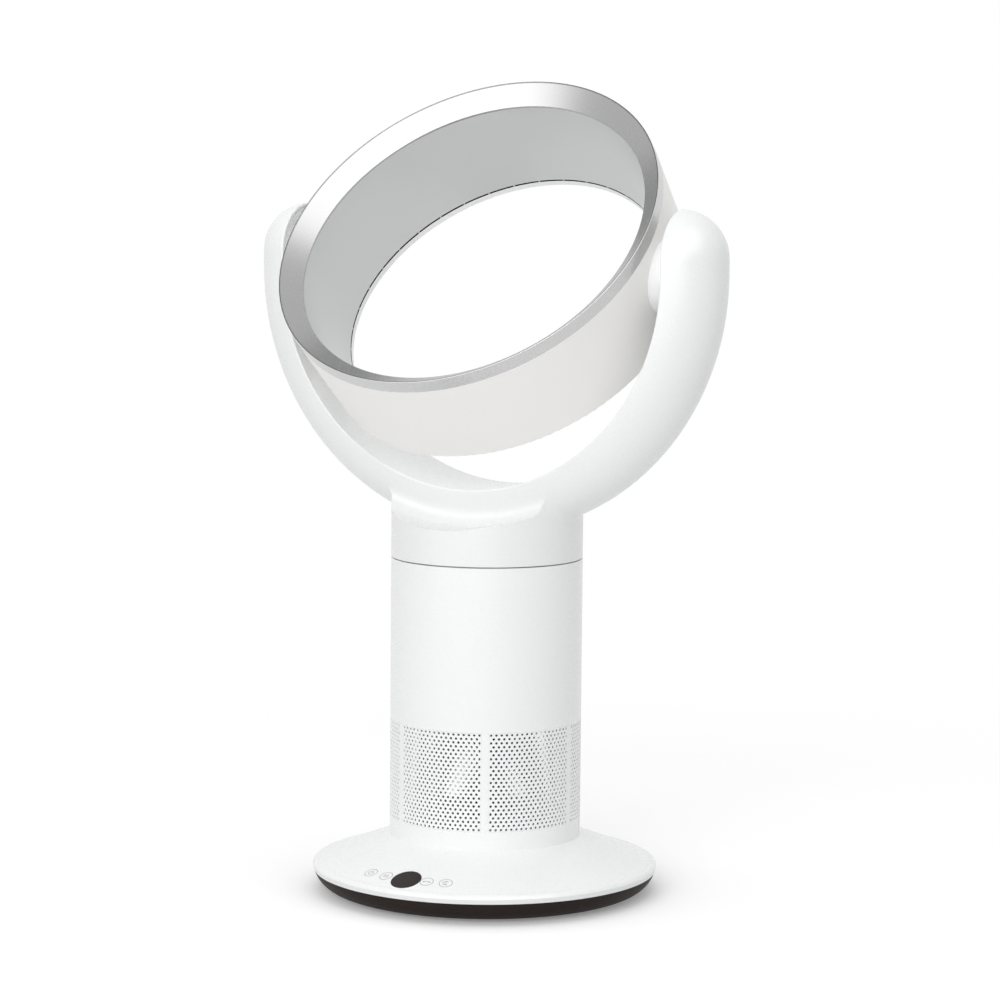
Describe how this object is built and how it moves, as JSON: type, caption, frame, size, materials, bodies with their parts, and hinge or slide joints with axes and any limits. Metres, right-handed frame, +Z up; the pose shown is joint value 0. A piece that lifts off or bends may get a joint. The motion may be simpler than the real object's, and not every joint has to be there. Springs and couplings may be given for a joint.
{
  "type": "bladeless fan",
  "caption": "Bladeless table fan: round base, column with perforated intake and hidden impeller, swivelling U-shaped yoke and a tilting air ring with a slit nozzle.",
  "frame": {"origin": "on the floor under the column's axis", "axes": "+Z up along the column, -Y to the front with the touch panel, +X to the right of someone who faces the front from -Y; the ring tilts about a line along X"},
  "size_m": [0.39, 0.2689, 0.6102],
  "materials": {
    "white_plastic": "white glossy moulded plastic",
    "ring_white": "white glossy moulded plastic",
    "silver_trim": "satin silver coating on plastic",
    "nozzle_grey": "satin light grey plastic",
    "dark_plastic": "dark brown-black moulded plastic",
    "smoked_window": "smoked glossy plastic",
    "bearing_plastic": "self-lubricating acetal",
    "inner_plastic": "grey glass-filled plastic",
    "soft_rubber": "moulded rubber",
    "cast_plate": "painted cast iron",
    "steel": "bright steel",
    "circuit_board": "glass-epoxy laminate",
    "electronic_parts": "moulded electronic parts"
  },
  "bodies": {
    "base": {"base_cover": "white_plastic", "base_tray": "dark_plastic", "rubber_feet": "soft_rubber", "base_screws": "steel", "ballast_plate": "cast_plate", "display_window": "smoked_window", "control_board": "circuit_board", "touch_pads": "soft_rubber", "power_board": "circuit_board", "power_parts": "electronic_parts", "cord_grommet": "soft_rubber", "intake_sleeve": "white_plastic", "intake_grilles": "white_plastic", "sleeve_screws": "steel", "column_tube": "white_plastic", "fan_duct": "inner_plastic", "duct_isolator": "soft_rubber", "motor_bucket": "inner_plastic", "bucket_cap": "inner_plastic", "fan_motor": "steel", "swivel_deck": "inner_plastic", "deck_screws": "steel", "slide_ring": "bearing_plastic", "swivel_motor": "steel", "swivel_bracket": "inner_plastic"},
    "head": {"head_plate": "inner_plastic", "head_screws": "steel", "swivel_gear": "bearing_plastic", "swivel_clip": "steel", "yoke_shell": "white_plastic", "yoke_cover": "white_plastic", "pivot_bush_left": "bearing_plastic", "pivot_bush_right": "bearing_plastic"},
    "air_ring": {"front_rim": "silver_trim", "ring_shell": "ring_white", "nozzle_wall": "nozzle_grey", "rear_lip": "ring_white", "slit_spacers": "ring_white", "pivot_boss_left": "ring_white", "trunnion_left": "inner_plastic", "friction_washer_left": "bearing_plastic", "pivot_retainer_left": "steel", "pivot_boss_right": "ring_white", "trunnion_right": "inner_plastic", "friction_washer_right": "bearing_plastic", "pivot_retainer_right": "steel"},
    "rotor": {"impeller": "inner_plastic", "motor_shaft": "steel"},
    "pinion": {"swivel_pinion": "bearing_plastic"}
  },
  "joints": [
    {"name": "head_oscillation", "type": "hinge", "parent": "base", "child": "head", "pos_m": [0, 0, 0.2539], "axis": [0, 0, 1], "range_deg": [-40, 40]},
    {"name": "ring_tilt", "type": "hinge", "parent": "head", "child": "air_ring", "pos_m": [0, 0, 0.468], "axis": [-1, 0, 0], "range_deg": [-53.5, 46.5]},
    {"name": "impeller_spin", "type": "hinge", "parent": "base", "child": "rotor", "pos_m": [0, 0, 0.16], "axis": [0, 0, 1], "continuous": true},
    {"name": "swivel_pinion_spin", "type": "hinge", "parent": "base", "child": "pinion", "pos_m": [0, 0.0575, 0.234], "axis": [0, 0, 1], "range_deg": [-270, 270]}
  ],
  "couplings": [
    {"joint": "swivel_pinion_spin", "follows": "head_oscillation", "ratio": -6.6667}
  ]
}
